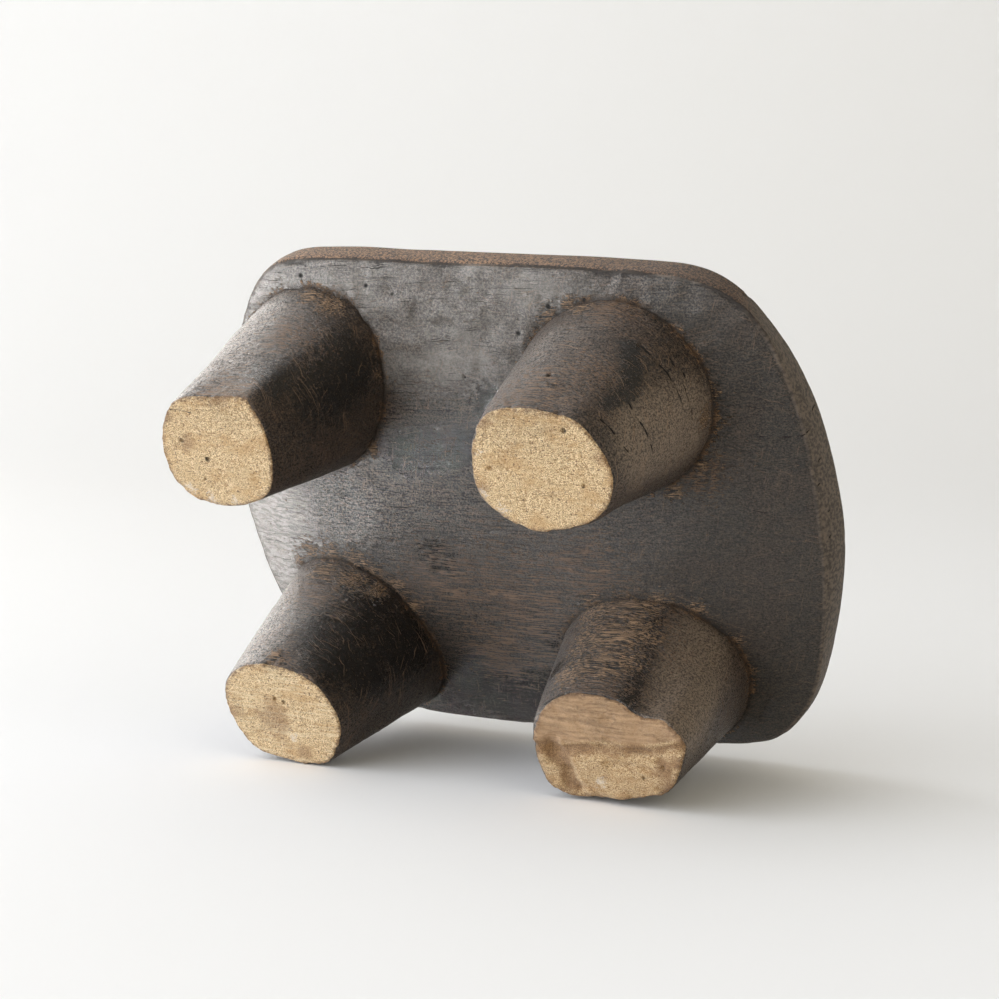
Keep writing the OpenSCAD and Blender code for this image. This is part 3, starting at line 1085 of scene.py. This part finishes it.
resting = min(
    TABLE_UP.dot(vertex.co)
    for piece in scene.objects if piece.name.startswith("carved_")
    for vertex in piece.data.vertices
)
SWEEP_FLAT, SWEEP_RADIUS = 1.5, 0.9
sweep_profile = [(-2.5, 0), (SWEEP_FLAT, 0)]
sweep_profile += [
    (SWEEP_FLAT + SWEEP_RADIUS * math.sin(a), SWEEP_RADIUS * (1 - math.cos(a)))
    for a in np.radians(np.arange(6, 91, 6))
]
sweep_profile += [(SWEEP_FLAT + SWEEP_RADIUS, 3.0)]
table = sheet("table_sweep", sweep_profile, 4.0, TABLE_UP * resting, BACK, TABLE_UP, SIDE,
              one_sided("table_paper", (0.84, 0.835, 0.825)))
table.visible_shadow = False
ground = sheet("ground", [(-6, 0), (6, 0)], 6.0, Vector((0, 0, -0.0005)), Vector((1, 0, 0)),
               Vector((0, 0, 1)), Vector((0, 1, 0)), one_sided("ground_paper", (0.84, 0.84, 0.835)))
for ray in ("diffuse", "glossy", "transmission", "shadow"):
    setattr(ground, "visible_" + ray, False)

CENTRE = Vector((0, 0, 0.07))


def toward(azimuth, elevation):
    """A direction as someone looking at the photographed side sees it: the azimuth
    is 0 straight behind the object and grows to the right."""
    a, e = math.radians(azimuth), math.radians(elevation)
    return (BACK * math.cos(a) + SIDE * math.sin(a)) * math.cos(e) + TABLE_UP * math.sin(e)


def lamp(name, direction, distance, width, height, radiance, colour=(1, 1, 1)):
    """A soft lamp that the camera doesn't see. Radiance 1 is as bright as white paper."""
    data = bpy.data.lights.new(name, "AREA")
    data.shape = "RECTANGLE"
    data.size = width
    data.size_y = height
    data.energy = radiance * math.pi * width * height
    data.color = colour
    item = bpy.data.objects.new(name, data)
    item.location = CENTRE + direction.normalized() * distance
    item.rotation_euler = (CENTRE - item.location).to_track_quat("-Z", "Y").to_euler()
    item.visible_camera = False
    scene.collection.objects.link(item)
    return item


# The air round the object is brighter and cooler toward the left of the picture
world = bpy.data.worlds.new("world")
scene.world = world
air = Nodes(world)
world.cycles.sampling_method = "NONE"
facing = air.measure("DOT_PRODUCT", air.add("ShaderNodeTexCoord").outputs["Generated"], toward(-75, 20))
sky = air.mix(air.step(facing, -0.45, 0.9), (0.35, 0.30, 0.19, 1), (0.81, 0.83, 0.88, 1))
air.join(sky, air.tree.nodes["Background"].inputs["Color"])

# Broad lamps that light the wood and the table, and glints that only its gloss shows
broad = [
    lamp("key", toward(-107, 8), 3.4, 4.6, 3.06, 1.16, (0.94, 0.99, 1.07)),
    lamp("key_front", toward(-128, 14), 3.0, 2.4, 2.0, 1.0, (0.95, 0.99, 1.06)),
    lamp("key_back", toward(-84, 14), 3.0, 2.4, 2.0, 1.65, (0.96, 0.99, 1.05)),
    lamp("high", toward(-88, 50), 2.6, 2.2, 1.8, 1.8, (0.95, 0.99, 1.06)),
    lamp("fill", toward(140, 22), 3.0, 3.0, 2.0, 1.23, (1.02, 1.01, 0.97)),
    lamp("over", Vector((-0.3, 0.62, 0.72)), 2.0, 1.4, 1.4, 2.5),
]
glints = [
    lamp("glint_left", toward(-103, 8), 2.0, 2.7, 1.8, 7.0, (1.0, 0.99, 0.98)),
    lamp("glint_low", toward(-86, -20), 2.0, 2.3, 1.4, 7.5, (1.0, 0.98, 0.95)),
    lamp("glint_back", toward(-45, 18), 2.1, 2.2, 1.5, 7.2, (1.0, 0.96, 0.91)),
    lamp("glint_top", toward(-42, 46), 2.2, 1.8, 1.5, 2.4, (1.0, 0.96, 0.91)),
    lamp("glint_right", toward(85, 8), 3.0, 2.4, 1.6, 1.1, (1.0, 0.94, 0.86)),
]
for item in broad:
    item.visible_glossy = False
for item in glints:
    item.visible_diffuse = False
for item in broad[:3] + broad[-1:] + glints[:2]:
    item.data.cycles.use_multiple_importance_sampling = False
